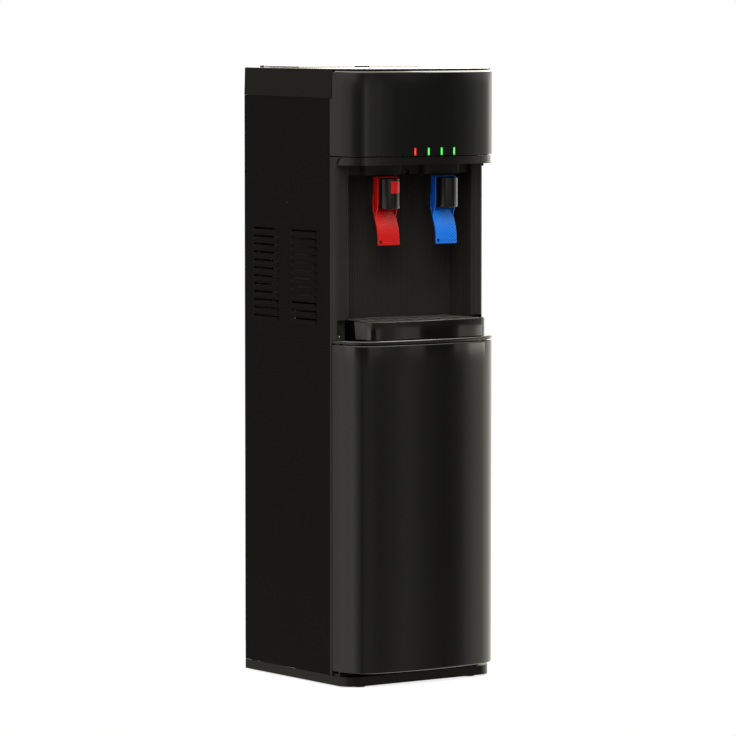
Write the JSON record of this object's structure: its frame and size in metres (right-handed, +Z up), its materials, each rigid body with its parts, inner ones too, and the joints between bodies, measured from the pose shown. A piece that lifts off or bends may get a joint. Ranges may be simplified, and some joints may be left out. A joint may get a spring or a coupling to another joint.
{
  "type": "bottleless water cooler",
  "caption": "Free-standing narrow water cooler with hot and cold taps over a drip tray and a bowed door hiding the filters.",
  "frame": {"origin": "centre of the bounding box on the floor under the feet", "axes": "+Z up, -Y out of the front with the taps, +X to the right seen from the front"},
  "size_m": [0.312, 0.3449, 1.044],
  "materials": {
    "side_steel": "satin black paint",
    "top_plastic": "satin",
    "head_gloss": "high gloss",
    "door_gloss": "high gloss",
    "frame_plastic": "satin",
    "trim_gloss": "gloss",
    "bay_plastic": "satin, ribbed",
    "tap_gloss": "high gloss",
    "hot_red": "gloss red",
    "cold_blue": "gloss blue",
    "tray_gloss": "gloss",
    "grille_plastic": "gloss",
    "base_plastic": "satin",
    "foot_rubber": "matte",
    "lamp_red": "clear red",
    "lamp_green": "clear green",
    "lamp_clear": "clear",
    "zinc_sheet": "galvanised",
    "steel": "bright",
    "stainless": "brushed",
    "copper": "drawn copper",
    "black_steel": "black enamel",
    "mount_rubber": "matte",
    "foam": "expanded foam",
    "jacket": "felt",
    "heater_band": "mica band",
    "filter_white": "semi gloss",
    "white_plastic": "moulded",
    "tube_white": "translucent tube",
    "board_green": "circuit board",
    "bush_plastic": "moulded",
    "switch_red": "gloss",
    "switch_green": "gloss"
  },
  "bodies": {
    "cabinet": {"base_pan": "base_plastic", "rubber_feet": "foot_rubber", "left_side_panel": "side_steel", "right_side_panel": "side_steel", "back_panel": "zinc_sheet", "top_cover": "top_plastic", "lid_pins": "steel", "front_frame": "frame_plastic", "head_fascia": "head_gloss", "chin_trim": "trim_gloss", "ledge": "trim_gloss", "splash_panel": "bay_plastic", "tap_hoods": "bay_plastic", "night_light": "lamp_clear", "red_indicator": "lamp_red", "green_indicators": "lamp_green", "control_board": "board_green", "hot_tap_body": "tap_gloss", "cold_tap_body": "tap_gloss", "tap_valves": "bay_plastic", "lever_pins": "steel", "door_hinges": "black_steel", "door_catch": "base_plastic", "compartment_divider": "zinc_sheet", "filter_manifold": "white_plastic", "inlet_valve": "white_plastic", "inlet_fitting": "zinc_sheet", "water_tubes": "tube_white", "compressor": "black_steel", "compressor_mounts": "mount_rubber", "relay_box": "top_plastic", "condenser": "black_steel", "filter_dryer": "copper", "copper_lines": "copper", "cold_tank": "stainless", "cold_tank_insulation": "foam", "evaporator_coil": "copper", "hot_tank": "stainless", "band_heater": "heater_band", "hot_tank_jacket": "jacket", "tank_shelf": "side_steel", "switch_housing": "base_plastic", "cable_gland": "base_plastic", "panel_screws": "steel"},
    "door": {"door_shell": "door_gloss", "door_liner": "frame_plastic", "door_bushes": "bush_plastic"},
    "tray": {"drip_tray": "tray_gloss"},
    "grille": {"drip_grille": "grille_plastic"},
    "hot_lever_body": {"hot_lever": "hot_red"},
    "cold_lever_body": {"cold_lever": "cold_blue"},
    "hot_plunger_body": {"hot_plunger": "steel"},
    "cold_plunger_body": {"cold_plunger": "steel"},
    "safety_button_body": {"hot_safety_button": "hot_red"},
    "lid": {"top_lid": "top_plastic"},
    "hot_switch_body": {"hot_switch": "switch_red"},
    "cold_switch_body": {"cold_switch": "switch_green"},
    "sediment_filter_body": {"sediment_filter": "filter_white"},
    "carbon_filter_body": {"carbon_filter": "filter_white"},
    "drain_cap_body": {"drain_cap": "base_plastic"}
  },
  "joints": [
    {"name": "door_hinge", "type": "hinge", "parent": "cabinet", "child": "door", "pos_m": [-0.145, -0.0995, 0.302], "axis": [0, 0, -1], "range_deg": [0, 95]},
    {"name": "tray_slide", "type": "slide", "parent": "cabinet", "child": "tray", "axis": [0, -1, 0], "range_m": [0, 0.13]},
    {"name": "grille_lift", "type": "slide", "parent": "tray", "child": "grille", "axis": [0, 0, 1], "range_m": [0, 0.03]},
    {"name": "hot_lever_push", "type": "hinge", "parent": "cabinet", "child": "hot_lever_body", "pos_m": [-0.06, -0.1135, 0.851], "axis": [1, 0, 0], "range_deg": [0, 8], "stiffness_Nm_per_rad": 0.6, "springref_deg": -11.46},
    {"name": "cold_lever_push", "type": "hinge", "parent": "cabinet", "child": "cold_lever_body", "pos_m": [0.06, -0.1135, 0.851], "axis": [1, 0, 0], "range_deg": [0, 8], "stiffness_Nm_per_rad": 0.6, "springref_deg": -11.46},
    {"name": "hot_plunger_slide", "type": "slide", "parent": "cabinet", "child": "hot_plunger_body", "axis": [0, 1, 0], "range_m": [0, 0.0055]},
    {"name": "cold_plunger_slide", "type": "slide", "parent": "cabinet", "child": "cold_plunger_body", "axis": [0, 1, 0], "range_m": [0, 0.0055]},
    {"name": "safety_button_press", "type": "slide", "parent": "cabinet", "child": "safety_button_body", "axis": [0, 1, 0], "range_m": [0, 0.003], "stiffness_N_per_m": 300, "springref_m": -0.002},
    {"name": "lid_hinge", "type": "hinge", "parent": "cabinet", "child": "lid", "pos_m": [0, 0.1405, 1.0427], "axis": [-1, 0, 0], "range_deg": [0, 80]},
    {"name": "hot_switch_rock", "type": "hinge", "parent": "cabinet", "child": "hot_switch_body", "pos_m": [0.024, 0.1599, 0.948], "axis": [-1, 0, 0], "range_deg": [0, 10]},
    {"name": "cold_switch_rock", "type": "hinge", "parent": "cabinet", "child": "cold_switch_body", "pos_m": [0.062, 0.1599, 0.948], "axis": [-1, 0, 0], "range_deg": [0, 10]},
    {"name": "sediment_filter_turn", "type": "hinge", "parent": "cabinet", "child": "sediment_filter_body", "pos_m": [-0.048, -0.0335, 0.5], "axis": [0, 0, 1], "range_deg": [0, 90]},
    {"name": "carbon_filter_turn", "type": "hinge", "parent": "cabinet", "child": "carbon_filter_body", "pos_m": [0.048, -0.0335, 0.5], "axis": [0, 0, 1], "range_deg": [0, 90]},
    {"name": "drain_cap_off", "type": "slide", "parent": "cabinet", "child": "drain_cap_body", "axis": [0, 1, 0], "range_m": [0, 0.02]}
  ],
  "couplings": [
    {"joint": "hot_plunger_slide", "follows": "hot_lever_push", "m_per_rad": 0.0375},
    {"joint": "cold_plunger_slide", "follows": "cold_lever_push", "m_per_rad": 0.0375}
  ]
}
